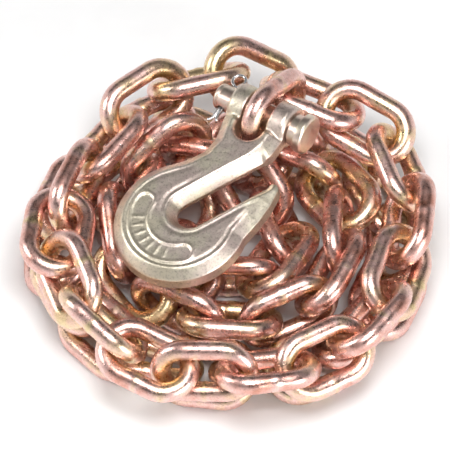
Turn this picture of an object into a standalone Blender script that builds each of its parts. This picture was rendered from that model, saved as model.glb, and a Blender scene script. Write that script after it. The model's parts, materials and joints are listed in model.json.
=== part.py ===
"""A load binder chain: a steel chain laid in a coil, with a clevis grab hook at its outer end.

The coil lies on the ground plane, centred on the origin, with +Z up. Lengths are metres, and the
tables of places are millimetres. Each link hangs between two bearing points, where it meets the
link before it and the link after it, so the route of the chain is a list of those points.
"""

import math

import bmesh
import bpy
import numpy as np
from mathutils import Matrix, Vector

MM = 0.001

# Chain: 10 mm round wire, 31 mm pitch
WIRE = 10 * MM
PITCH = 31 * MM
INSIDE_WIDTH = 14.6 * MM
LINK_SIDES = 8
CROWN_STEPS = 5
CROWN_RADIUS = (INSIDE_WIDTH + WIRE) / 2
STRAIGHT = PITCH + WIRE - 2 * CROWN_RADIUS
CROWN_REACH = (PITCH + WIRE) / 2

# Clevis and its place: the load line runs along the hook's Y axis, and the pin along its X axis
PIN_DIAMETER = 12.7 * MM
PIN_PLACE = Vector((16.5, 41, 62)) * MM
LOAD_HEADING = math.radians(58)
LOAD_RISE = math.radians(8)
SIDE_RISE = math.radians(6)
LEAD_DROP = math.radians(33)

# Hook, forged 16 mm thick; its points are millimetres from the pin's middle
PLATE_THICKNESS = 16 * MM
FORK_GAP = 13.6 * MM
FORK_WIDTH = 32 * MM
FORK_DEPTH = 12
BOSS_RADIUS = 10.5 * MM
BOSS_PROUD = 0.2
BOSS_EDGE = 1.5
BOSS_SIDES = 24
BOWL_CENTRE = (-3.2, -68.3)
BOWL_RADIUS = 31.7
SLOT_END = (-1.5, -62.5)
SLOT_RADIUS = 6.5
SLOT_HEADING = math.radians(59.6)
SLOT_UPPER_WALL = 42
SLOT_LOWER_WALL = 37
# Heights above the middle plane, as a share of half the thickness, and how far each is set in
PLATE_LEVELS = ((-1, 2.8), (-0.68, 0.6), (0, 0), (0.68, 0.6), (1, 2.8))
PLATE_INSET = 3

# Clevis pin: its profile from the cotter end to the head, as places along it and radii in mm
PIN_PROFILE = (
    (-25.5, 5.4), (-24.6, 6.35), (16.8, 6.35), (16.8, 7.8),
    (20.6, 7.8), (21.2, 9.6), (24.6, 9.6), (25.5, 8.7),
)
PIN_SIDES = 20
PIN_CLEARANCE = 0.3 * MM
COTTER_PLACE = -20.6 * MM
COTTER_HOLE = 4.4 * MM
HOLE_SIDES = 12
# How far a bore's cutter reaches past the metal
CUT_PAST = 5

# Cotter pin: two legs that make a round wire of 3.2 mm, and a round eye of thinner wire
COTTER_WIRE = 3.2 * MM
COTTER_LEG = 12 * MM
COTTER_TIP = 2.4 * MM
COTTER_SIDES = 10
EYE_RADIUS = 3.2 * MM
EYE_PLACE = 10.6 * MM
EYE_WIRE = 1.7 * MM
EYE_SINK = 0.8 * MM
EYE_SIDES = 14
EYE_WIRE_SIDES = 8

# How the chain is laid down
TOUCHING = WIRE + 0.8 * MM
DENSE = 2.9 * MM
PLATE_GRID = 4
SETTLE_STEPS = 700
SINKING_ENDS = 0.4
SINK = 0.06 * MM
PUSH_SHARE = 0.4
LIFT = 0.3
HOOK_CLEARANCE = 1 * MM
GYRATION = 15 * MM
HOLD = 0.02

# The route, from the hook to the free end, in millimetres. Each row is the point where a link
# starts, midway between its own end and its neighbour's, and the link's roll in degrees. The
# first link hangs on the clevis pin, so its place follows from the hook's.
SECOND_LEAD = [
    (30, 60, 52, -40),
]
UPPER_TURN = [
    (53, 55, 50, 35),
    (75, 41, 50, -50),
    (84, 13, 49, 50),
    (82, -16, 48, -62),
    (73, -42, 48, 52),
    (57, -66, 48, -34),
    (32, -82, 48, 48),
    (4, -83, 48, -68),
    (-25, -83, 48, -6),
    (-51, -73, 48, 52),
    (-68, -49, 48, -62),
    (-81, -24, 48, 10),
    (-77, 2, 48, 68),
    (-65, 29, 48, -46),
    (-48, 51, 48, 30),
    (-27, 72, 46, -59),
    (-3, 80, 45, 20),
    (20, 72, 30, -59),
]
LOWER_TURN = [
    (43, 58, 17, 50),
    (61, 35, 14, -45),
    (79, 14, 14, 45),
    (79, -13, 13, -45),
    (67, -36, 13, 45),
    (49, -57, 13, -40),
    (27, -70, 13, 50),
    (4, -68, 13, -38),
    (-23, -68, 13, 50),
    (-48, -58, 13, -45),
    (-68, -40, 13, 45),
    (-80, -15, 13, -45),
    (-80, 13, 13, 45),
    (-69, 38, 13, -45),
    (-50, 58, 13, 45),
    (-27, 66, 13, -45),
    (-1, 63, 13, 45),
]
SECOND_TURN = [
    (21, 46, 15, -58),
    (48, 36, 20, 55),
    (60, 11, 16, -45),
    (53, -13, 18, 52),
    (40, -38, 18, -36),
    (14, -48, 16, 30),
    (-13, -46, 16, -88),
    (-37, -36, 14, -8),
    (-53, -13, 14, 72),
    (-56, 14, 14, -35),
    (-42, 38, 14, 50),
    (-20, 48, 14, -45),
]
INNER_TURN = [
    (3, 36, 14, 45),
    (17, 16, 16, -58),
    (33, -4, 18, 15),
    (14, -24, 14, 78),
    (-12, -20, 14, -20),
    (-27, 3, 14, 60),
]
FREE_END = (-21, 28, 14)


def arc(centre, radius, first, last, pieces):
    """Points along an arc, its ends among them, between two angles in degrees."""
    turns = [math.radians(first + (last - first) * k / pieces) for k in range(pieces + 1)]
    return [(centre[0] + radius * math.cos(t), centre[1] + radius * math.sin(t)) for t in turns]


def hook_outline():
    """The hook's outline at its parting line, counterclockwise from the left ear's end."""
    heading = math.degrees(SLOT_HEADING)
    forward = (math.cos(SLOT_HEADING), math.sin(SLOT_HEADING))
    slot = arc(SLOT_END, SLOT_RADIUS, heading - 90, heading - 270, 8)
    upper = (slot[-1][0] + forward[0] * SLOT_UPPER_WALL, slot[-1][1] + forward[1] * SLOT_UPPER_WALL)
    lower = (slot[0][0] + forward[0] * SLOT_LOWER_WALL, slot[0][1] + forward[1] * SLOT_LOWER_WALL)
    ear, gap = FORK_WIDTH / MM / 2, FORK_GAP / MM / 2
    left_side = [(-ear, 6), (-ear, -4), (-14, -14), (-12.2, -23), (-13.5, -31), (-18.5, -38.5)]
    bowl = arc(BOWL_CENTRE, BOWL_RADIUS, 135, 370, 18)
    tip = [(29.6, -52), (29.8, -42), (29, -33.5), (26, -30.8), lower]
    right_side = [upper, (16, -17), (ear + 0.5, -10), (ear, 0), (ear, 6)]
    fork = [(gap, 6), *arc((0, -FORK_DEPTH), gap, 0, -180, 8), (-gap, 6)]
    return left_side + bowl + tip + slot + right_side + fork


class Link:
    """One link: its name, its centre, and its axes as the columns of a matrix.

    The axes are along the link, across it in its own plane, and out of that plane.
    """

    def __init__(self, name, centre, axes):
        self.name = name
        self.centre = np.array(centre, float)
        self.axes = np.array(axes, float).T

    def matrix(self):
        made = Matrix(self.axes.tolist()).to_4x4()
        made.translation = self.centre
        return made


def hook_axes():
    """The hook's X, Y and Z axes in the world."""
    flat = math.cos(LOAD_RISE)
    load = Vector(
        (flat * math.cos(LOAD_HEADING), flat * math.sin(LOAD_HEADING), math.sin(LOAD_RISE))
    )
    side = Vector((math.sin(LOAD_HEADING), -math.cos(LOAD_HEADING), 0))
    side.rotate(Matrix.Rotation(-SIDE_RISE, 3, load))
    return side, load, side.cross(load)


def lead_link():
    """The first link, which hangs on the pin and drops from the load line towards the coil."""
    side, load, face = hook_axes()
    along = load * math.cos(LEAD_DROP) - face * math.sin(LEAD_DROP)
    across = side.cross(along)
    reach = CROWN_REACH - WIRE / 2 - PIN_DIAMETER / 2 - 0.4 * MM
    return Link("lead_link_01", PIN_PLACE + along * reach, (along, across, along.cross(across)))


def routed_link(name, start, end, roll):
    along = (end - start) / np.linalg.norm(end - start)
    side = np.cross((0.0, 0.0, 1.0), along)
    side /= np.linalg.norm(side)
    turn = math.radians(roll)
    across = math.cos(turn) * side + math.sin(turn) * np.cross(along, side)
    return Link(name, (start + end) / 2, (along, across, np.cross(along, across)))


def chain_links():
    """The links in order from the hook, where the route puts them."""
    turns = [
        ("lead_link", SECOND_LEAD, 2),
        ("upper_link", UPPER_TURN, 1),
        ("lower_link", LOWER_TURN, 1),
        ("second_link", SECOND_TURN, 1),
        ("inner_link", INNER_TURN, 1),
    ]
    rows = []
    for prefix, turn, first in turns:
        rows += [(f"{prefix}_{number:02d}", *row) for number, row in enumerate(turn, first)]
    places = np.array([row[1:4] for row in rows] + [FREE_END], float) * MM
    links = [lead_link()]
    for row, start, end in zip(rows, places[:-1], places[1:]):
        links.append(routed_link(row[0], start, end, row[4]))
    return links


def stadium(steps):
    """The centreline of a link in its own plane: two straights joined by half circles."""
    turns = [math.pi * (k / steps - 0.5) for k in range(steps + 1)]
    far = [(STRAIGHT / 2 + CROWN_RADIUS * math.cos(t), CROWN_RADIUS * math.sin(t)) for t in turns]
    return far + [(-x, -y) for x, y in far]


def dense_stadium():
    """The centreline with points about 3 mm apart, for measuring how near two links come."""
    corners = stadium(12)
    points = []
    for (ax, ay), (bx, by) in zip(corners, corners[1:] + corners[:1]):
        pieces = max(1, round(math.hypot(bx - ax, by - ay) / DENSE))
        points += [(ax + (bx - ax) * k / pieces, ay + (by - ay) * k / pieces) for k in range(pieces)]
    return np.round(points, 9)


def hook_body():
    """Points all over the middle plane of the hook's plate, in the world."""
    side, load, _ = hook_axes()
    outline = hook_outline()
    inside = [
        PIN_PLACE + side * (x * MM) + load * (y * MM)
        for x in range(-36, 37, PLATE_GRID)
        for y in range(-104, 14, PLATE_GRID)
        if inside_outline(x, y, outline, PLATE_INSET)
    ]
    return np.round(inside, 9)


def inside_outline(x, y, outline, inset):
    """Whether a point is inside a closed outline and at least inset from its sides."""
    crossings = 0
    for (ax, ay), (bx, by) in zip(outline, outline[1:] + outline[:1]):
        if (ay > y) != (by > y) and x < (bx - ax) * (y - ay) / (by - ay) + ax:
            crossings += 1
        span = (bx - ax) ** 2 + (by - ay) ** 2
        share = min(1, max(0, ((x - ax) * (bx - ax) + (y - ay) * (by - ay)) / span))
        if math.hypot(x - ax - share * (bx - ax), y - ay - share * (by - ay)) < inset:
            return False
    return crossings % 2 == 1


def dot(one, other):
    product = one * other
    return product[..., 0] + product[..., 1] + product[..., 2]


def length(vectors):
    return np.sqrt(dot(vectors, vectors))


def centrelines(centres, axes, outline):
    along, across = axes[:, None, 0], axes[:, None, 1]
    return centres[:, None] + outline[None, :, :1] * along + outline[None, :, 1:] * across


def nearest(first, second):
    """For each pair of lines: the numbers of their nearest points, the way between them, its length."""
    squares = 0
    for axis in range(3):
        squares = squares + (first[:, :, None, axis] - second[:, None, :, axis]) ** 2
    i, j = np.divmod(squares.reshape(len(first), -1).argmin(axis=1), second.shape[1])
    pair = np.arange(len(first))
    way = first[pair, i] - second[pair, j]
    gap = length(way)
    return first[pair, i], second[pair, j], way / gap[:, None], gap


class Pile:
    """The links as bodies that can be pushed: their centres and their axes, one row to a link."""

    def __init__(self, links):
        self.centres = np.round([link.centre for link in links], 9)
        self.axes = np.round([link.axes.T for link in links], 9)
        self.outline = dense_stadium()
        self.turns = np.zeros_like(self.centres)
        self.measure()

    def measure(self):
        self.lines = centrelines(self.centres, self.axes, self.outline)

    def push(self, link, place, way, amount):
        """Moves and turns links as pushes at these places, along these ways, would."""
        lever = np.cross(place - self.centres[link], way)
        np.add.at(self.centres, link, amount[:, None] * way)
        np.add.at(self.turns, link, amount[:, None] * lever / GYRATION**2)

    def ease(self, link, place, way):
        """How much such pushes move the place itself, against pushes through the middle."""
        lever = np.cross(place - self.centres[link], way)
        return 1 + dot(lever, lever) / GYRATION**2

    def part(self, share):
        """Moves links that come nearer than touching away from each other."""
        apart = length(self.centres[:, None] - self.centres[None])
        one, other = np.nonzero(np.triu(apart < 2 * CROWN_REACH + TOUCHING, 1))
        first, second, way, gap = nearest(self.lines[one], self.lines[other])
        near = gap < TOUCHING
        one, other, first, second, way = one[near], other[near], first[near], second[near], way[near]
        deficit = TOUCHING - gap[near]
        amount = share * deficit / (self.ease(one, first, way) + self.ease(other, second, way))
        self.push(one, first, way, amount)
        self.push(other, second, -way, amount)
        crossing = other - one > 1
        higher = np.where(self.centres[one, 2] > self.centres[other, 2], one, other)[crossing]
        np.add.at(self.centres[:, 2], higher, LIFT * share * deficit[crossing])

    def clear(self, body, reach, share):
        """Moves links out of a fixed body, given as points inside it."""
        link = np.arange(len(self.lines))
        place, _, way, gap = nearest(self.lines, np.broadcast_to(body, (len(link), *body.shape)))
        near = gap < reach
        amount = share * (reach - gap[near]) / self.ease(link[near], place[near], way[near])
        self.push(link[near], place[near], way[near], amount)

    def ground(self, share):
        """Raises links whose lowest point is under the ground."""
        link = np.arange(len(self.lines))
        place = self.lines[link, self.lines[:, :, 2].argmin(axis=1)]
        under = WIRE / 2 - place[:, 2]
        low = under > 0
        way = np.zeros((low.sum(), 3))
        way[:, 2] = 1
        amount = share * under[low] / self.ease(link[low], place[low], way)
        self.push(link[low], place[low], way, amount)

    def turn(self):
        """Turns the axes by the small turns that the pushes gave, and squares them again."""
        moved = self.axes + np.cross(self.turns[:, None], self.axes)
        along = moved[:, 0] / length(moved[:, 0])[:, None]
        across = moved[:, 1] - dot(moved[:, 1], along)[:, None] * along
        across /= length(across)[:, None]
        self.axes = np.stack([along, across, np.cross(along, across)], axis=1)
        self.turns[:] = 0


def lay_down(links):
    """Lets the links sink onto the ground and each other, and clears every two that touch.

    The first link and the hook stay where they are.
    """
    pile, body = Pile(links), hook_body()
    wanted, first = pile.centres.copy(), pile.axes[0].copy()
    for step in range(SETTLE_STEPS):
        left = 1 - step / SETTLE_STEPS
        if left > SINKING_ENDS:
            pile.centres[:, 2] -= SINK
        pile.centres[:, :2] += (wanted - pile.centres)[:, :2] * HOLD * left
        pile.measure()
        pile.part(PUSH_SHARE)
        pile.clear(body, PLATE_THICKNESS / 2 + WIRE / 2 + HOOK_CLEARANCE, PUSH_SHARE)
        pile.ground(PUSH_SHARE)
        pile.turn()
        pile.centres[0], pile.axes[0] = wanted[0], first
    for link, centre, axes in zip(links, pile.centres, pile.axes):
        link.centre, link.axes = centre, axes.T
    return links


def ring_mesh(name, path, radius, sides, normals):
    """A closed round wire along a closed path that lies in the XY plane."""
    mesh = bmesh.new()
    rings = []
    for point, normal in zip(path, normals):
        ring = []
        for side in range(sides):
            turn = 2 * math.pi * (side + 0.5) / sides
            reach = radius * math.cos(turn)
            ring.append(
                mesh.verts.new(
                    (point[0] + normal[0] * reach, point[1] + normal[1] * reach, radius * math.sin(turn))
                )
            )
        rings.append(ring)
    for ring, following in zip(rings, rings[1:] + rings[:1]):
        for side in range(sides):
            after = (side + 1) % sides
            mesh.faces.new((ring[side], following[side], following[after], ring[after]))
    bmesh.ops.recalc_face_normals(mesh, faces=mesh.faces)
    data = bpy.data.meshes.new(name)
    mesh.to_mesh(data)
    mesh.free()
    return data


def link_mesh():
    """One link, its length along X."""
    path = stadium(CROWN_STEPS)
    turns = [math.pi * (k / CROWN_STEPS - 0.5) for k in range(CROWN_STEPS + 1)]
    far = [(math.cos(t), math.sin(t)) for t in turns]
    return ring_mesh("link", path, WIRE / 2, LINK_SIDES, far + [(-x, -y) for x, y in far])


def smooth(data):
    data.shade_smooth()
    data.set_sharp_from_angle(angle=math.radians(50))


def material(name, colour, metallic, roughness):
    made = bpy.data.materials.new(name)
    made.use_nodes = True
    shader = made.node_tree.nodes["Principled BSDF"]
    shader.inputs["Base Color"].default_value = (*colour, 1)
    shader.inputs["Metallic"].default_value = metallic
    shader.inputs["Roughness"].default_value = roughness
    return made


def add(name, data, finish, frame):
    """A new object whose parent is the empty that gives its place."""
    smooth(data)
    data.materials.append(finish)
    made = bpy.data.objects.new(name, data)
    made.parent = frame
    bpy.context.scene.collection.objects.link(made)
    return made


def clear_scene():
    for thing in list(bpy.data.objects):
        bpy.data.objects.remove(thing, do_unlink=True)


def inset(outline, distance):
    """The outline moved into the shape by a distance, with its corners kept."""
    moved = []
    for before, here, after in zip(outline[-1:] + outline[:-1], outline, outline[1:] + outline[:1]):
        first = unit_normal(before, here)
        second = unit_normal(here, after)
        share = distance / (1 + first[0] * second[0] + first[1] * second[1])
        moved.append((here[0] + (first[0] + second[0]) * share, here[1] + (first[1] + second[1]) * share))
    return moved


def unit_normal(start, end):
    """The unit normal on the left of a step from start to end."""
    run = math.hypot(end[0] - start[0], end[1] - start[1])
    return (start[1] - end[1]) / run, (end[0] - start[0]) / run


def stacked_mesh(name, levels):
    """A solid through closed loops of points, each with as many points, capped at both ends."""
    mesh = bmesh.new()
    rings = [[mesh.verts.new(point) for point in level] for level in levels]
    for ring, following in zip(rings, rings[1:]):
        for k in range(len(ring)):
            after = (k + 1) % len(ring)
            mesh.faces.new((ring[k], ring[after], following[after], following[k]))
    mesh.faces.new(list(reversed(rings[0])))
    mesh.faces.new(rings[-1])
    bmesh.ops.recalc_face_normals(mesh, faces=mesh.faces)
    data = bpy.data.meshes.new(name)
    mesh.to_mesh(data)
    mesh.free()
    return data


def turned_mesh(name, profile, sides):
    """A round bar along X, from (place, radius) pairs in millimetres."""
    turns = [2 * math.pi * (k + 0.5) / sides for k in range(sides)]
    return stacked_mesh(
        name,
        [[(x * MM, r * MM * math.cos(t), r * MM * math.sin(t)) for t in turns] for x, r in profile],
    )


def hook_mesh():
    outline = hook_outline()
    levels = []
    for share, distance in PLATE_LEVELS:
        height = share * PLATE_THICKNESS / 2
        levels.append([(x * MM, y * MM, height) for x, y in inset(outline, distance)])
    return stacked_mesh("hook_plate", levels)


def change(target, operation, tool, name):
    """Adds a tool to an object, or cuts it out, with a Boolean modifier."""
    tool.hide_render = True
    tool.display_type = "WIRE"
    made = target.modifiers.new(name, "BOOLEAN")
    made.operation = operation
    made.solver = "EXACT"
    made.object = tool


def make_hook(frame, finish):
    hook = add("grab_hook", hook_mesh(), finish, frame)
    inner, outer = FORK_GAP / MM / 2 - BOSS_PROUD, FORK_WIDTH / MM / 2 + BOSS_PROUD
    edge = BOSS_RADIUS / MM
    for name, side in (("left_boss", -1), ("right_boss", 1)):
        profile = [(inner, edge), (outer - BOSS_EDGE, edge), (outer, edge - BOSS_EDGE)]
        boss = turned_mesh(name, [(side * x, r) for x, r in profile], BOSS_SIDES)
        change(hook, "UNION", add(name, boss, finish, frame), name)
    radius = (PIN_DIAMETER / 2 + PIN_CLEARANCE) / MM
    reach = outer + CUT_PAST
    bore = turned_mesh("pin_bore", [(-reach, radius), (reach, radius)], PIN_SIDES)
    change(hook, "DIFFERENCE", add("pin_bore", bore, finish, frame), "bore")
    return hook


def make_pin(frame, finish):
    pin = add("clevis_pin", turned_mesh("pin", PIN_PROFILE, PIN_SIDES), finish, frame)
    radius, reach = COTTER_HOLE / 2 / MM, PIN_DIAMETER / MM
    hole = turned_mesh("cotter_hole", [(-reach, radius), (reach, radius)], HOLE_SIDES)
    across = Matrix.Translation((COTTER_PLACE, 0, 0)) @ Matrix.Rotation(math.pi / 2, 4, "Z")
    cutter = add("cotter_hole", hole, finish, frame)
    cutter.matrix_local = across
    change(pin, "DIFFERENCE", cutter, "cotter_hole")
    return pin


def make_cotter(frame, finish):
    """The cotter lies across the pin, along the load line, with its eye on the chain's side."""
    leg, wire = COTTER_LEG / MM, COTTER_WIRE / MM / 2
    top = (EYE_PLACE - EYE_RADIUS + EYE_SINK) / MM
    body = [(-leg - COTTER_TIP / MM, wire / 2), (-leg, wire), (top, wire)]
    cotter = add("cotter_pin", turned_mesh("cotter", body, COTTER_SIDES), finish, frame)
    turns = [2 * math.pi * k / EYE_SIDES for k in range(EYE_SIDES)]
    ways = [(math.cos(t), math.sin(t)) for t in turns]
    path = [(EYE_PLACE + EYE_RADIUS * x, EYE_RADIUS * y) for x, y in ways]
    ring = ring_mesh("eye", path, EYE_WIRE / 2, EYE_WIRE_SIDES, ways)
    eye = add("cotter_eye", ring, finish, frame)
    change(cotter, "UNION", eye, "eye")
    return cotter


def centre_on_ground(links, shape):
    """How far to move everything so that its box stands on the ground, centred on the origin."""
    corners = [link.matrix() @ vertex.co for link in links for vertex in shape.vertices]
    low = Vector([min(corner[axis] for corner in corners) for axis in range(3)])
    high = Vector([max(corner[axis] for corner in corners) for axis in range(3)])
    return Vector((-(low.x + high.x) / 2, -(low.y + high.y) / 2, -low.z))


def joint_frame(name, matrix):
    """An empty at a joint, its X axis along the hinge."""
    made = bpy.data.objects.new(name, None)
    made.empty_display_size = 20 * MM
    made.matrix_world = matrix
    bpy.context.scene.collection.objects.link(made)
    return made


def build_chain():
    """The links and the hook's frame, in their places: pairs of a name and a matrix."""
    links = lay_down(chain_links())
    shape = link_mesh()
    shift = Matrix.Translation(centre_on_ground(links, shape))
    side, load, face = hook_axes()
    hook = Matrix((side, load, face)).transposed().to_4x4()
    hook.translation = PIN_PLACE
    return [(link.name, shift @ link.matrix()) for link in links], shift @ hook, shape


def main():
    clear_scene()
    zinc = material("pink_zinc", (0.80, 0.55, 0.48), 1.0, 0.3)
    forged = material("forged_steel", (0.62, 0.58, 0.50), 1.0, 0.4)
    pale = material("pale_zinc", (0.78, 0.66, 0.58), 1.0, 0.35)
    bright = material("bright_wire", (0.82, 0.82, 0.82), 1.0, 0.25)
    links, hook_place, shape = build_chain()
    smooth(shape)
    shape.materials.append(zinc)
    for name, matrix in links:
        made = bpy.data.objects.new(name, shape)
        made.matrix_world = matrix
        bpy.context.scene.collection.objects.link(made)
    pin_axis = joint_frame("pin_axis", hook_place)
    across = Matrix.Translation((COTTER_PLACE, 0, 0)) @ Matrix.Rotation(math.pi / 2, 4, "Z")
    cotter_axis = joint_frame("cotter_axis", hook_place @ across)
    make_hook(pin_axis, forged)
    make_pin(pin_axis, pale)
    make_cotter(cotter_axis, bright)


main()
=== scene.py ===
"""The looks of the coiled load binder chain: fine links, forged hook, pin and cotter, and their light.

Every fine piece is built where its solid lies in the frame and rides on that solid's body. The frame
is in metres. Sizes of the pieces are in millimetres, and the hook's points are counted from the
middle of its pin, with X along the pin and Y along the load line.
"""

import json
import math
import random

import bmesh
import bpy
import numpy as np
from mathutils import Matrix, Vector, noise

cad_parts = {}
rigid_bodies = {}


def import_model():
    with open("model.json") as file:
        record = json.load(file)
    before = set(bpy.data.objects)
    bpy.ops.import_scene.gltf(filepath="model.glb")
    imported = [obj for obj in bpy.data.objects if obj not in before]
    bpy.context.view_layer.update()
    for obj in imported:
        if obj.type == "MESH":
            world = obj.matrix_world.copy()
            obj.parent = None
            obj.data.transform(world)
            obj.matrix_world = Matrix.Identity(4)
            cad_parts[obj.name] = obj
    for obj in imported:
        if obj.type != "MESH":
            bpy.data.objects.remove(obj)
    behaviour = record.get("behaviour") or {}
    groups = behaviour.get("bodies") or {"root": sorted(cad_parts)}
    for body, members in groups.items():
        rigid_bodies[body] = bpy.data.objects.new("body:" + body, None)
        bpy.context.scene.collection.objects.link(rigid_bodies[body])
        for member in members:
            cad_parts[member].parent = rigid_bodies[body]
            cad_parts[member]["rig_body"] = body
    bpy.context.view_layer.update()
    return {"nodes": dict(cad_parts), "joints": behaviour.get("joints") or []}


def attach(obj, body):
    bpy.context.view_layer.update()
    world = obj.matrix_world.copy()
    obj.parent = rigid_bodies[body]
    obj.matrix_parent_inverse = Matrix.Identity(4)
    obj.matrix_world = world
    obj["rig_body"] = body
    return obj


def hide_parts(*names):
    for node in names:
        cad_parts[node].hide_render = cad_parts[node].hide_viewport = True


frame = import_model()

MM = 0.001

# Link, and its stations: round each crown, along each side and round the wire
WIRE = 10.0
INSIDE_WIDTH = 14.6
PITCH = 31.0
LINK_SIDES = 24
CROWN_STATIONS = 22
STRAIGHT_STATIONS = 16
# The skin lies this far inside the nominal wire, so that the links can rock without touching
SINK = 0.30
# A low collar where a side is welded, and a ridge of flash on each side of it
WELD_HEIGHT = 0.30
WELD_WIDTH = 1.7
WELD_SHIFT = 1.2
FLASH_HEIGHT = 0.24
FLASH_WIDTH = 0.35
FLASH_PLACE = 0.9
WELD_LEAST = 0.6
WELD_UNEVEN = 0.8
WELD_NOISE = 1.7
FAR_FROM_WELD = 99.0
# Unevenness of the bent wire, as heights and as waves to a millimetre
LINK_WAVE = (0.13, 0.11)
LINK_GRAIN = (0.035, 0.7)
LINK_NOISE_SPAN = 900

# Hook outline
HALF_THICKNESS = 8.0
FORK_GAP = 13.6
FORK_WIDTH = 32.0
FORK_DEPTH = 12.0
BOSS_RADIUS = 10.5
BOWL_CENTRE = (-3.2, -68.3)
BOWL_RADIUS = 31.7
SLOT_END = (-1.5, -62.5)
SLOT_RADIUS = 6.5
SLOT_HEADING = math.radians(59.6)
SLOT_UPPER_WALL = 42.0
SLOT_LOWER_WALL = 37.0
VOXEL = 0.55

# Hook bevels: half thickness at the outer edge and at the throat, and how far in each one reaches
BEVEL_WIDTH = 5.2
BEVEL_EDGE = 3.4
TIP_BEVEL = 2.6
TIP_THINNING = 2.4
FLARE_WIDTH = 4.7
FLARE_EDGE = 1.2
FORK_RIM = 6.6
FORK_RIM_RISE = 1.4
FORK_RIM_WIDTH = 1.6
EAR_LEAST = 0.6
EAR_CHAMFER = 1.8
EAR_CHAMFER_SLOPE = 1.1
FACE_PROUD = 0.12
# How softly two surfaces meet
EDGE_BLEND = 1.2
FACE_BLEND = 0.6
EAR_BLEND = 0.8

# Where the hook's shape changes: a way in its plane, where the change starts along it, and its run
TIP_SIDE = ((0.6, 0.8), -44, 26)
RIGHT_OF_SLOT = ((1, 0), 6, 12)
TIP_END = ((0.5, 0.86), -32, 22)
TIP_RIGHT = ((1, 0), 15, 8)
TIP_TOP = -22
FORK_START = ((0, 1), -24, 8)
BOSS_START = ((0, 1), -11, 4)
BOWL_START = ((0, -1), 38, 10)
THROAT_START = ((0, -1), 40, 14)

# Grooves in the hook's face: depth, how far past the bevel, and width
RIM_GROOVE = (0.38, 1.5, 0.9)
THROAT_GROOVE = (0.42, 1.6, 1.1)

# Raised outline on the bowl, round an arc, with a sunk floor and seven ribs inside it
CAPSULE_RADIUS = 19.1
CAPSULE_HALF_WIDTH = 4.7
CAPSULE_FIRST = math.radians(179)
CAPSULE_LAST = math.radians(308)
CAPSULE_HEIGHT = 0.55
CAPSULE_LINE = 0.55
CAPSULE_DEPTH = 0.18
CAPSULE_MARGIN = 0.6
RIB_COUNT = 7
RIB_FIRST = 0.2
RIB_SPAN = 0.6
RIB_HEIGHT = 0.30
RIB_WIDTH = 0.60
RIB_REACH = 3.1
CAPSULE_EASE = 0.8

# Unevenness of the forging, as heights and as waves to a millimetre
HOOK_WAVE = (0.16, 0.06)
HOOK_GRAIN = (0.05, 0.45)

# Clevis pin: places along it from the cotter's end to the head, with the radius at each
PIN_RADIUS = 6.35
PIN_CLEARANCE = 0.3
PIN_PROFILE = [
    (-25.5, 0.0), (-25.5, 5.3), (-24.5, 6.3), (-23.6, 6.3), (-23.3, 5.9), (-22.9, 5.9),
    (-22.6, PIN_RADIUS), (16.8, PIN_RADIUS), (16.8, 7.7), (20.6, 7.7), (21.2, 9.6),
    (24.6, 9.6), (25.4, 8.6), (25.5, 0.0),
]
PIN_EDGE = 0.45
PIN_SIDES = 64
AXIS_RADIUS = 0.02
MOST_OF_AN_EDGE = 0.45

# Cotter pin, and its hole through the clevis pin
COTTER_PLACE = -20.6
COTTER_HOLE = 4.4
COTTER_RADIUS = 0.78
COTTER_SIDES = 14
LEG_OFFSET = 0.80
EYE_RADIUS = 3.2
EYE_PLACE = 10.6
EYE_HALF_TURN = 166
EYE_PIECES = 40

# Bored holes
BORE_SIDES = 48
BORE_PAST = 5

# Colours along a noise: each stop's place and its colour
BLACK = (0.0, 0.0, 0.0)
WHITE = (1.0, 1.0, 1.0)
CHAIN_TINTS = (
    (0.34, (0.62, 0.28, 0.20)),
    (0.52, (0.79, 0.44, 0.37)),
    (0.70, (0.88, 0.59, 0.54)),
    (0.86, (0.87, 0.62, 0.46)),
    (1.0, (0.83, 0.66, 0.40)),
)
# Painted shade: the inner sides of the links, which face their holes, are darkened to brown, and the
# outer sides are left as they are
CHAIN_PAINTED_INNER_SHADE = ((0.0, (0.80, 0.66, 0.54)), (0.75, WHITE))
CHAIN_SPECKS = ((0.36, (0.42, 0.35, 0.32)), (0.50, WHITE))
CHAIN_BLOTCHES = ((0.42, BLACK), (0.62, WHITE))
HOOK_TINTS = (
    (0.34, (0.72, 0.58, 0.53)),
    (0.46, (0.76, 0.65, 0.57)),
    (0.56, (0.77, 0.70, 0.56)),
    (0.70, (0.80, 0.72, 0.56)),
)
HOOK_SPECKS = ((0.34, (0.44, 0.41, 0.37)), (0.49, WHITE))
PIN_TINTS = ((0.35, (0.78, 0.56, 0.48)), (0.55, (0.82, 0.68, 0.58)), (0.72, (0.80, 0.72, 0.56)))
PIN_SPECKS = ((0.32, (0.62, 0.54, 0.50)), (0.48, WHITE))
COTTER_TINTS = ((0.35, (0.70, 0.70, 0.71)), (0.6, (0.86, 0.86, 0.87)))
FLOOR_TINTS = ((0.3, (0.90, 0.90, 0.90)), (0.7, (0.93, 0.93, 0.93)))

# Stage, in metres: each light's name, place, size and power, and the air's grey from below to above
FLOOR_HALF_WIDTH = 3.0
LIGHTS = (
    ("overhead", (0.05, -0.30, 1.05), 0.42, 9.0),
    ("low_right", (0.80, -0.85, 0.38), 0.50, 7.4),
    ("left", (-0.95, 0.05, 0.65), 0.30, 4.5),
)
AIR_BANDS = (
    (0.0, 0.9), (0.30, 0.75), (0.44, 0.22), (0.56, 0.04),
    (0.76, 0.06), (0.87, 0.30), (0.95, 0.40), (1.0, 0.45),
)

# View, in metres, with the sensor in millimetres
CAMERA_ELEVATION = math.radians(56)
CAMERA_DISTANCE = 2.4
CAMERA_FAR = 20
SENSOR = 36.0
VIEW_WIDTH = 0.2145
VIEW_CENTRE = Vector((-0.0015, 0.0236, 0.0))


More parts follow.
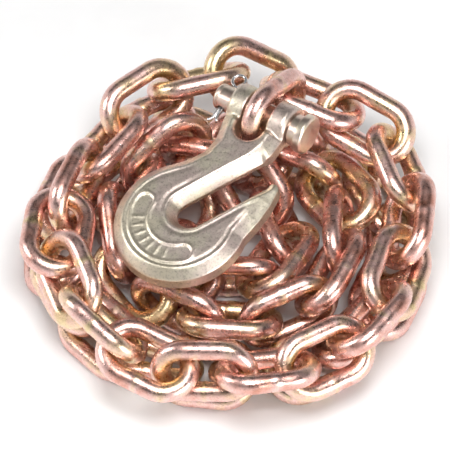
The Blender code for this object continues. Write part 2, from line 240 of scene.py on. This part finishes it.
def main():
    bpy.context.scene.view_settings.view_transform = "Standard"
    joints = {joint["name"]: joint for joint in frame["joints"]}
    set_camera()
    set_stage()
    zinc = chain_zinc()
    for number, node in enumerate(sorted(frame["nodes"])):
        if "_link_" in node:
            make_link(node, number, zinc)
    place = hook_place(joints)
    make_hook(place, forged_zinc())
    make_pin(place, pin_zinc())
    make_cotter(place, cotter_wire())


# ---------------------------------------------------------------- mesh helpers


def mesh_object(name, vertices, faces, matrix=None):
    data = bpy.data.meshes.new(name)
    data.from_pydata(vertices, [], faces)
    if matrix is not None:
        data.transform(matrix)
    data.update()
    data.shade_smooth()
    made = bpy.data.objects.new(name, data)
    bpy.context.scene.collection.objects.link(made)
    return made


def ring_faces(rings, sides, closed):
    """Quads between neighbouring rings of vertices, each of as many sides."""
    faces = []
    for ring in range(rings if closed else rings - 1):
        here = ring * sides
        after = (ring + 1) % rings * sides
        for side in range(sides):
            beside = (side + 1) % sides
            faces.append((here + side, after + side, after + beside, here + beside))
    return faces


def end_faces(rings, sides):
    """The two faces that close an open row of rings."""
    return [tuple(reversed(range(sides))), tuple(range((rings - 1) * sides, rings * sides))]


def face_outwards(data):
    mesh = bmesh.new()
    mesh.from_mesh(data)
    bmesh.ops.recalc_face_normals(mesh, faces=mesh.faces)
    mesh.to_mesh(data)
    mesh.free()
    data.shade_smooth()


def turned_object(name, profile, sides):
    """A turned piece round the X axis, from places along it and radii."""
    vertices = []
    for x, radius in profile:
        reach = max(radius, AXIS_RADIUS)
        for side in range(sides):
            turn = 2 * math.pi * side / sides
            vertices.append((x * MM, reach * math.cos(turn) * MM, reach * math.sin(turn) * MM))
    faces = ring_faces(len(profile), sides, False) + end_faces(len(profile), sides)
    made = mesh_object(name, vertices, faces)
    face_outwards(made.data)
    return made


def modify(piece, kind, **settings):
    """Applies one modifier to the piece's mesh."""
    modifier = piece.modifiers.new(kind.lower(), kind)
    for name, value in settings.items():
        setattr(modifier, name, value)
    bpy.context.view_layer.update()
    evaluated = piece.evaluated_get(bpy.context.evaluated_depsgraph_get())
    data = bpy.data.meshes.new_from_object(evaluated)
    piece.modifiers.clear()
    before = piece.data
    piece.data = data
    data.name = before.name
    bpy.data.meshes.remove(before)


def bore(piece, radius, length, place):
    """Cuts a round hole along the place's X axis, with the place at the middle of its length."""
    end = length / 2 + BORE_PAST
    cutter = turned_object("cutter", [(-end, 0), (-end, radius), (end, radius), (end, 0)], BORE_SIDES)
    cutter.data.transform(place)
    modify(piece, "BOOLEAN", operation="DIFFERENCE", solver="EXACT", object=cutter)
    bpy.data.objects.remove(cutter)


def stand_in(piece, node, finish):
    """The piece takes the node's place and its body."""
    piece.data.materials.append(finish)
    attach(piece, piece_body(node))
    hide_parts(node)


def piece_body(node):
    return frame["nodes"][node]["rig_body"]


def set_float(data, name, values):
    layer = data.attributes.new(name, "FLOAT", "POINT")
    layer.data.foreach_set("value", np.asarray(values, np.float32))


def unevenness(point, offset, wave, grain):
    """A slow wave and a fine grain, each given as its height and its waves to a millimetre."""
    slow = noise.noise(point * wave[1] + offset) * wave[0]
    return slow + noise.noise(point * grain[1] + offset) * grain[0]


# ---------------------------------------------------------------- links


def node_matrix(node):
    """Where a link's solid lies: its middle, its length along X and its width along Y."""
    data = frame["nodes"][node].data
    data.calc_loop_triangles()
    places = np.array([vertex.co for vertex in data.vertices])
    corners = places[np.array([triangle.vertices for triangle in data.loop_triangles])]
    one, other = corners[:, 1] - corners[:, 0], corners[:, 2] - corners[:, 0]
    areas = np.linalg.norm(np.cross(one, other), axis=1)
    middles = corners.mean(axis=1)
    centre = (middles * areas[:, None]).sum(axis=0) / areas.sum()
    spread = 9 * ((middles - centre) * areas[:, None]).T @ (middles - centre)
    for points in corners.transpose(1, 0, 2):
        spread += ((points - centre) * areas[:, None]).T @ (points - centre)
    _, axes = np.linalg.eigh(spread)
    along, across = Vector(axes[:, 2]), Vector(axes[:, 1])
    if along.x < 0:
        along = -along
    if across.z < 0:
        across = -across
    made = Matrix((along, across, along.cross(across))).transposed().to_4x4()
    made.translation = Vector(centre)
    return made


def link_path():
    """Stations along a link's centreline: place, outward way, bend, and run from the side's middle."""
    radius = (INSIDE_WIDTH + WIRE) / 2
    half = (PITCH + WIRE) / 2 - radius
    stations = []
    for end in (1, -1):
        for k in range(CROWN_STATIONS):
            turn = -math.pi / 2 + math.pi * k / CROWN_STATIONS
            way = (end * math.cos(turn), end * math.sin(turn))
            place = (end * half + way[0] * radius, way[1] * radius)
            stations.append((place, way, math.cos(turn), FAR_FROM_WELD))
        for k in range(STRAIGHT_STATIONS):
            along = end * half * (1 - 2 * k / STRAIGHT_STATIONS)
            stations.append(((along, end * radius), (0.0, float(end)), 0.0, along))
    return stations


def make_link(node, seed, finish):
    dice = random.Random(seed)
    span = LINK_NOISE_SPAN
    offset = Vector((dice.uniform(0, span), dice.uniform(0, span), dice.uniform(0, span)))
    weld_side = dice.choice((1, -1))
    weld_place = dice.uniform(-WELD_SHIFT, WELD_SHIFT)
    tone = dice.random()
    vertices, crowns, welds, outers = [], [], [], []
    for place, way, crown, along in link_path():
        run = along - weld_place if way[1] == weld_side and crown == 0.0 else FAR_FROM_WELD
        collar = math.exp(-((run / WELD_WIDTH) ** 2))
        flash = math.exp(-(((abs(run) - FLASH_PLACE) / FLASH_WIDTH) ** 2))
        relief = collar * WELD_HEIGHT + flash * FLASH_HEIGHT
        for side in range(LINK_SIDES):
            turn = 2 * math.pi * side / LINK_SIDES
            direction = Vector((way[0] * math.cos(turn), way[1] * math.cos(turn), math.sin(turn)))
            skin = Vector((place[0], place[1], 0)) + direction * WIRE / 2
            uneven = WELD_LEAST + WELD_UNEVEN * noise.noise(direction * WELD_NOISE + offset)
            proud = unevenness(skin, offset, LINK_WAVE, LINK_GRAIN) - SINK + relief * uneven
            vertices.append((skin + direction * proud) * MM)
            crowns.append(crown)
            welds.append(collar)
            outers.append(math.cos(turn))
    faces = ring_faces(len(vertices) // LINK_SIDES, LINK_SIDES, True)
    link = mesh_object(node + "_steel", vertices, faces, node_matrix(node))
    face_outwards(link.data)
    set_float(link.data, "crown", crowns)
    set_float(link.data, "weld", welds)
    set_float(link.data, "outer", outers)
    set_float(link.data, "tone", [tone] * len(vertices))
    stand_in(link, node, finish)


# ---------------------------------------------------------------- hook


def hook_place(joints):
    """The hook's own frame, from its pin's axis and the cotter's axis."""
    side = Vector(joints["pin_turn"]["axis"]).normalized()
    load = Vector(joints["cotter_turn"]["axis"]).normalized()
    made = Matrix((side, load, side.cross(load))).transposed().to_4x4()
    made.translation = Vector(joints["pin_turn"]["pos_m"])
    return made


def arc(centre, radius, first, last, pieces):
    """Points along an arc between two angles in degrees, its ends among them."""
    turns = [math.radians(first + (last - first) * k / pieces) for k in range(pieces + 1)]
    return [(centre[0] + radius * math.cos(t), centre[1] + radius * math.sin(t)) for t in turns]


def hook_outline():
    """Four runs of points that close the outline: outer side, slot, right side and fork."""
    heading = math.degrees(SLOT_HEADING)
    forward = (math.cos(SLOT_HEADING), math.sin(SLOT_HEADING))
    slot = arc(SLOT_END, SLOT_RADIUS, first=heading - 90, last=heading - 270, pieces=20)
    upper = tuple(slot[-1][i] + forward[i] * SLOT_UPPER_WALL for i in (0, 1))
    lower = tuple(slot[0][i] + forward[i] * SLOT_LOWER_WALL for i in (0, 1))
    ear, gap, end = FORK_WIDTH / 2, FORK_GAP / 2, BOSS_RADIUS
    left = [(-ear, end), (-ear, 0), (-ear + 0.2, -6), (-14.2, -14), (-12.2, -23)]
    left += [(-13.3, -31), (-18.3, -38.6)]
    bowl = arc(BOWL_CENTRE, BOWL_RADIUS, first=135, last=370, pieces=48)
    tip = [(29.6, -52), (29.9, -42), (29.1, -34), (28.2, -32), (26.6, -31), (24.8, -31.6), lower]
    right = [upper, (15.9, -19), (ear + 0.4, -11), (ear, 0), (ear, end)]
    crotch = arc((0, -FORK_DEPTH), gap, first=0, last=-180, pieces=20)
    fork = [(gap, end), *crotch, (-gap, end)]
    return left + bowl + tip, slot, right, fork


def distance_to(points, runs):
    """How far each point is from the nearest of the runs of segments."""
    best = np.full(len(points), np.inf)
    for run in runs:
        for start, end in zip(run, run[1:]):
            start, step = np.array(start), np.array(end) - np.array(start)
            share = np.clip(((points - start) @ step) / (step @ step), 0, 1)
            best = np.minimum(best, np.linalg.norm(points - start - share[:, None] * step, axis=1))
    return best


def soft_least(one, other, blend):
    """The smaller of two heights, rounded where they cross."""
    share = np.clip(0.5 + 0.5 * (other - one) / blend, 0, 1)
    return other * (1 - share) + one * share - blend * share * (1 - share)


def ramp(values):
    """Values from 0 to 1, eased at both ends."""
    values = np.clip(values, 0, 1)
    return values * values * (3 - 2 * values)


def bell(values):
    return np.exp(-(values**2))


def change(x, y, way, start, run):
    """From 0 to 1 along a way in the hook's plane, from its start and over its run."""
    return ramp((x * way[0] + y * way[1] - start) / run)


def hook_height(points):
    """Half the hook's thickness at each point of its plane."""
    outer_run, slot, right, fork = hook_outline()
    outer = distance_to(points, [outer_run, right])
    throat = distance_to(points, [[outer_run[-1], *slot, right[0]]])
    clevis = distance_to(points, [fork])
    x, y = points[:, 0], points[:, 1]
    toward_tip = change(x, y, *TIP_SIDE) * change(x, y, *RIGHT_OF_SLOT)
    width = BEVEL_WIDTH + TIP_BEVEL * toward_tip
    thinning = TIP_THINNING * change(x, y, *TIP_END) * change(x, y, *TIP_RIGHT) * (y < TIP_TOP)
    face = HALF_THICKNESS - thinning
    bevel = BEVEL_EDGE + (face - BEVEL_EDGE) * np.clip(outer / width, 0, 1)
    flare = FLARE_EDGE + (face - FLARE_EDGE) * np.clip(throat / FLARE_WIDTH, 0, 1)
    rim = FORK_RIM + FORK_RIM_RISE * np.clip(clevis / FORK_RIM_WIDTH, 0, 1)
    in_fork = change(x, y, *FORK_START)
    ear = np.sqrt(np.clip(BOSS_RADIUS**2 - y**2, EAR_LEAST, None))
    ear_edge = soft_least(ear, ear - EAR_CHAMFER + outer * EAR_CHAMFER_SLOPE, EAR_BLEND)
    height = soft_least(bevel, flare, EDGE_BLEND)
    height = soft_least(height, face + FACE_PROUD, FACE_BLEND)
    rimmed = soft_least(height, np.minimum(rim, face), FACE_BLEND)
    height = height * (1 - in_fork) + rimmed * in_fork
    boss = change(x, y, *BOSS_START)
    height = height * (1 - boss) + ear_edge * boss
    return height + face_details(x, y, outer, throat)


def face_details(x, y, outer, throat):
    """The groove inside the rim, the groove round the throat, and the raised outline on the bowl."""
    depth, past, width = RIM_GROOVE
    detail = -depth * bell((outer - BEVEL_WIDTH - past) / width) * change(x, y, *BOWL_START)
    depth, past, width = THROAT_GROOVE
    detail -= depth * bell((throat - FLARE_WIDTH - past) / width) * change(x, y, *THROAT_START)
    away = np.hypot(x - BOWL_CENTRE[0], y - BOWL_CENTRE[1])
    turn = np.mod(np.arctan2(y - BOWL_CENTRE[1], x - BOWL_CENTRE[0]), 2 * math.pi)
    held = np.clip(turn, CAPSULE_FIRST, CAPSULE_LAST)
    nearest_x = BOWL_CENTRE[0] + CAPSULE_RADIUS * np.cos(held)
    nearest_y = BOWL_CENTRE[1] + CAPSULE_RADIUS * np.sin(held)
    capsule = np.hypot(x - nearest_x, y - nearest_y)
    detail += CAPSULE_HEIGHT * bell((capsule - CAPSULE_HALF_WIDTH) / CAPSULE_LINE)
    detail -= CAPSULE_DEPTH * ramp((CAPSULE_HALF_WIDTH - CAPSULE_MARGIN - capsule) / CAPSULE_EASE)
    across = np.abs(away - CAPSULE_RADIUS)
    for k in range(RIB_COUNT):
        share = RIB_FIRST + RIB_SPAN * k / (RIB_COUNT - 1)
        middle = CAPSULE_FIRST + (CAPSULE_LAST - CAPSULE_FIRST) * share
        beside = away * np.abs(turn - middle)
        detail += RIB_HEIGHT * bell(beside / RIB_WIDTH) * ramp((RIB_REACH - across) / CAPSULE_EASE)
    return detail


def shape_hook(data):
    """Gives the flat plate its bevels, flare, bosses and raised outline, and the marks of the forge."""
    co = np.zeros(len(data.vertices) * 3)
    data.vertices.foreach_get("co", co)
    co = co.reshape(-1, 3) / MM
    height = hook_height(co[:, :2])
    still = Vector((0, 0, 0))
    wave = np.array([unevenness(Vector(point), still, HOOK_WAVE, HOOK_GRAIN) for point in co])
    top = np.abs(co[:, 2]) / HALF_THICKNESS
    co[:, 2] = co[:, 2] / HALF_THICKNESS * (height + wave * top)
    data.vertices.foreach_set("co", (co * MM).ravel())
    data.update()


def make_hook(place, finish):
    outline = [point for run in hook_outline() for point in run]
    levels = (-HALF_THICKNESS, HALF_THICKNESS)
    vertices = [(x * MM, y * MM, z * MM) for z in levels for x, y in outline]
    faces = ring_faces(len(levels), len(outline), False) + end_faces(len(levels), len(outline))
    hook = mesh_object("grab_hook_forging", vertices, faces)
    face_outwards(hook.data)
    modify(hook, "REMESH", mode="VOXEL", voxel_size=VOXEL * MM, use_smooth_shade=True)
    modify(hook, "SMOOTH", factor=0.5, iterations=3)
    shape_hook(hook.data)
    modify(hook, "SMOOTH", factor=0.4, iterations=2)
    bore(hook, PIN_RADIUS + PIN_CLEARANCE, FORK_WIDTH, Matrix())
    hook.data.shade_smooth()
    hook.data.set_sharp_from_angle(angle=math.radians(55))
    hook.data.transform(place)
    stand_in(hook, "grab_hook", finish)


# ---------------------------------------------------------------- pin and cotter


def rounded(profile, radius, pieces=4):
    """The profile with its inner corners rounded."""
    points = [profile[0]]
    for before, here, after in zip(profile, profile[1:], profile[2:]):
        first, second = Vector(before) - Vector(here), Vector(after) - Vector(here)
        cut = min(radius, first.length * MOST_OF_AN_EDGE, second.length * MOST_OF_AN_EDGE)
        start = Vector(here) + first.normalized() * cut
        end = Vector(here) + second.normalized() * cut
        for k in range(pieces + 1):
            t = k / pieces
            points.append(tuple(start * (1 - t) ** 2 + Vector(here) * 2 * t * (1 - t) + end * t * t))
    return points + [profile[-1]]


def make_pin(place, finish):
    pin = turned_object("clevis_pin_steel", rounded(PIN_PROFILE, PIN_EDGE), PIN_SIDES)
    bore(pin, COTTER_HOLE / 2, 2 * PIN_RADIUS, cotter_place())
    pin.data.shade_smooth()
    pin.data.set_sharp_from_angle(angle=math.radians(40))
    pin.data.transform(place)
    stand_in(pin, "clevis_pin", finish)


def wire_mesh(path, radius, sides):
    """Vertices and faces of a round wire along a path of points in the XY plane."""
    vertices = []
    last = len(path) - 1
    for k, point in enumerate(path):
        way = (Vector(path[min(k + 1, last)]) - Vector(path[max(k - 1, 0)])).normalized()
        side_way = Vector((-way.y, way.x, 0))
        for side in range(sides):
            turn = 2 * math.pi * side / sides
            here = Vector((point[0], point[1], 0)) + side_way * math.cos(turn) * radius
            vertices.append((here.x * MM, here.y * MM, math.sin(turn) * radius * MM))
    return vertices, ring_faces(len(path), sides, False) + end_faces(len(path), sides)


def cotter_place():
    """The cotter pin's place in the hook's frame: across the clevis pin, near its end."""
    return Matrix.Translation((COTTER_PLACE * MM, 0, 0)) @ Matrix.Rotation(math.pi / 2, 4, "Z")


def make_cotter(place, finish):
    """One wire: a leg, the round eye, and the other leg, each leg bent outwards at its end."""
    gap = LEG_OFFSET
    upper = [(-14.2, 2.5), (-13.4, 1.7), (-12.2, gap), (-6, gap), (0, gap), (5.5, gap)]
    lower = [(5.5, -gap), (0, -gap), (-6, -gap), (-11.2, -gap), (-12.2, -1.5), (-13.0, -2.2)]
    eye = arc((EYE_PLACE, 0), EYE_RADIUS, EYE_HALF_TURN, -EYE_HALF_TURN, EYE_PIECES)
    vertices, faces = wire_mesh(upper + eye + lower, COTTER_RADIUS, COTTER_SIDES)
    cotter = mesh_object("cotter_pin_wire", vertices, faces, place @ cotter_place())
    face_outwards(cotter.data)
    stand_in(cotter, "cotter_pin", finish)


# ---------------------------------------------------------------- materials


def set_stops(node, stops):
    """Gives a colour ramp its stops: each one's place and its colour."""
    elements = node.color_ramp.elements
    while len(elements) < len(stops):
        elements.new(0.5)
    for element, (position, colour) in zip(elements, stops):
        element.position = position
        element.color = (*colour, 1)


class Nodes:
    """A material's node tree, with short calls for the nodes that these finishes use."""

    def __init__(self, name):
        self.material = bpy.data.materials.new(name)
        self.material.use_nodes = True
        self.tree = self.material.node_tree
        self.shader = self.tree.nodes["Principled BSDF"]
        self.place = self.tree.nodes.new("ShaderNodeTexCoord").outputs["Object"]

    def link(self, source, target):
        self.tree.links.new(source, target)

    def feed(self, sockets, values):
        """Gives each socket a number, or links another node's output to it."""
        for socket, value in zip(sockets, values):
            if isinstance(value, (int, float)):
                socket.default_value = value
            else:
                self.link(value, socket)

    def attribute(self, name):
        node = self.tree.nodes.new("ShaderNodeAttribute")
        node.attribute_name = name
        return node.outputs["Fac"]

    def noise(self, scale, detail, roughness=0.55):
        node = self.tree.nodes.new("ShaderNodeTexNoise")
        node.inputs["Scale"].default_value = scale
        node.inputs["Detail"].default_value = detail
        node.inputs["Roughness"].default_value = roughness
        self.link(self.place, node.inputs["Vector"])
        return node.outputs["Fac"]

    def math(self, operation, first, second):
        node = self.tree.nodes.new("ShaderNodeMath")
        node.operation = operation
        self.feed(node.inputs, (first, second))
        return node.outputs["Value"]

    def weighted(self, *terms):
        """The sum of values, each times its weight."""
        total = None
        for value, weight in terms:
            share = self.math("MULTIPLY", value, weight)
            total = share if total is None else self.math("ADD", total, share)
        return total

    def ramp(self, value, stops):
        node = self.tree.nodes.new("ShaderNodeValToRGB")
        set_stops(node, stops)
        self.link(value, node.inputs["Fac"])
        return node.outputs["Color"]

    def spread(self, value, low, high):
        node = self.tree.nodes.new("ShaderNodeMapRange")
        self.link(value, node.inputs["Value"])
        node.inputs["To Min"].default_value = low
        node.inputs["To Max"].default_value = high
        return node.outputs["Result"]

    def multiply(self, share, first, second):
        """The first colour, darkened by that share of the second."""
        node = self.tree.nodes.new("ShaderNodeMix")
        node.data_type = "RGBA"
        node.blend_type = "MULTIPLY"
        self.feed((node.inputs[0], node.inputs[6], node.inputs[7]), (share, first, second))
        return node.outputs[2]

    def bump(self, height, distance, strength, under=None):
        node = self.tree.nodes.new("ShaderNodeBump")
        node.inputs["Strength"].default_value = strength
        node.inputs["Distance"].default_value = distance
        self.link(height, node.inputs["Height"])
        if under is not None:
            self.link(under, node.inputs["Normal"])
        return node.outputs["Normal"]

    def finish(self, colour, roughness, normal):
        self.shader.inputs["Metallic"].default_value = 1.0
        self.link(colour, self.shader.inputs["Base Color"])
        self.link(roughness, self.shader.inputs["Roughness"])
        self.link(normal, self.shader.inputs["Normal"])
        return self.material


def chain_zinc():
    """Yellow chromate over zinc: pink to copper, gold on crowns and welds, a fine grain, and painted
    shade on the links' inner sides.
    """
    n = Nodes("chain_zinc")
    patches = n.weighted(
        (n.noise(scale=85.0, detail=3.0), 1.1),
        (n.attribute("tone"), 0.28),
        (n.attribute("crown"), 0.16),
        (n.attribute("weld"), 0.22),
        (n.attribute("outer"), -0.06),
    )
    # Painted shade: the sides of the wire that face the link's hole are darkened brown, and the outward
    # sides stay bright
    rim = n.ramp(n.spread(n.attribute("outer"), low=0.5, high=1.0), CHAIN_PAINTED_INNER_SHADE)
    tint = n.multiply(1.0, n.ramp(patches, CHAIN_TINTS), rim)
    grain = n.noise(scale=1300.0, detail=6.0, roughness=0.75)
    specks = n.ramp(grain, CHAIN_SPECKS)
    blotches = n.ramp(n.noise(scale=330.0, detail=4.0, roughness=0.6), CHAIN_BLOTCHES)
    colour = n.multiply(n.spread(blotches, low=0.15, high=0.85), tint, specks)
    roughness = n.spread(n.weighted((grain, 0.6), (blotches, 0.4)), low=0.16, high=0.46)
    scratches = n.noise(scale=420.0, detail=6.0, roughness=0.65)
    normal = n.bump(scratches, distance=0.00016, strength=0.40)
    normal = n.bump(grain, distance=0.00009, strength=0.60, under=normal)
    return n.finish(colour, roughness, normal)


def forged_zinc():
    """The hook's plating: khaki grey with pale yellow and pink tints over a forged grain."""
    n = Nodes("forged_zinc")
    tint = n.ramp(n.noise(scale=42.0, detail=4.0, roughness=0.6), HOOK_TINTS)
    grain = n.noise(scale=1000.0, detail=6.0, roughness=0.8)
    colour = n.multiply(0.85, tint, n.ramp(grain, HOOK_SPECKS))
    roughness = n.spread(grain, low=0.24, high=0.56)
    dents = n.noise(scale=260.0, detail=5.0, roughness=0.6)
    normal = n.bump(dents, distance=0.0003, strength=0.60)
    normal = n.bump(grain, distance=0.00012, strength=0.6, under=normal)
    return n.finish(colour, roughness, normal)


def pin_zinc():
    """The clevis pin's plating: smoother and pinker than the hook's."""
    n = Nodes("pin_zinc")
    tint = n.ramp(n.noise(scale=120.0, detail=3.0), PIN_TINTS)
    grain = n.noise(scale=1400.0, detail=5.0, roughness=0.7)
    colour = n.multiply(0.5, tint, n.ramp(grain, PIN_SPECKS))
    normal = n.bump(grain, distance=0.00005, strength=0.45)
    return n.finish(colour, n.spread(grain, low=0.22, high=0.42), normal)


def cotter_wire():
    """Bright drawn wire."""
    n = Nodes("cotter_wire")
    grain = n.noise(scale=1800.0, detail=4.0, roughness=0.6)
    normal = n.bump(grain, distance=0.00003, strength=0.4)
    return n.finish(n.ramp(grain, COTTER_TINTS), n.spread(grain, low=0.14, high=0.32), normal)


def floor_white():
    n = Nodes("floor_white")
    colour = n.ramp(n.noise(scale=30.0, detail=3.0), FLOOR_TINTS)
    n.link(colour, n.shader.inputs["Base Color"])
    n.shader.inputs["Roughness"].default_value = 0.85
    return n.material


# ---------------------------------------------------------------- stage, light and camera


def set_stage():
    size = FLOOR_HALF_WIDTH
    corners = [(-size, -size, 0), (size, -size, 0), (size, size, 0), (-size, size, 0)]
    floor = mesh_object("floor", corners, [(0, 1, 2, 3)])
    floor.data.materials.append(floor_white())
    bpy.context.scene.world = studio_air()
    for light in LIGHTS:
        add_light(*light)


def studio_air():
    """Grey surroundings, lighter towards the ground, with dark bands that give the metal its contrast."""
    world = bpy.data.worlds.new("studio")
    world.use_nodes = True
    tree = world.node_tree
    place = tree.nodes.new("ShaderNodeTexCoord").outputs["Generated"]
    split = tree.nodes.new("ShaderNodeSeparateXYZ")
    tree.links.new(place, split.inputs["Vector"])
    bands = tree.nodes.new("ShaderNodeValToRGB")
    set_stops(bands, [(position, (level, level, level)) for position, level in AIR_BANDS])
    tree.links.new(split.outputs["Z"], bands.inputs["Fac"])
    tree.links.new(bands.outputs["Color"], tree.nodes["Background"].inputs["Color"])
    tree.nodes["Background"].inputs["Strength"].default_value = 1.0
    return world


def add_light(name, place, size, power):
    data = bpy.data.lights.new(name, "AREA")
    data.shape = "SQUARE"
    data.size = size
    data.energy = power
    put_facing(name, data, Vector(place), -Vector(place))


def put_facing(name, data, place, way):
    """Puts a light or a camera at a place, facing along a way."""
    made = bpy.data.objects.new(name, data)
    made.location = place
    made.rotation_euler = way.to_track_quat("-Z", "Y").to_euler()
    bpy.context.scene.collection.objects.link(made)
    return made


def set_camera():
    data = bpy.data.cameras.new("camera")
    data.sensor_width = SENSOR
    data.lens = SENSOR * CAMERA_DISTANCE / VIEW_WIDTH
    data.clip_end = CAMERA_FAR
    back = Vector((0, -math.cos(CAMERA_ELEVATION), math.sin(CAMERA_ELEVATION)))
    made = put_facing("camera", data, VIEW_CENTRE + back * CAMERA_DISTANCE, -back)
    bpy.context.scene.camera = made


main()
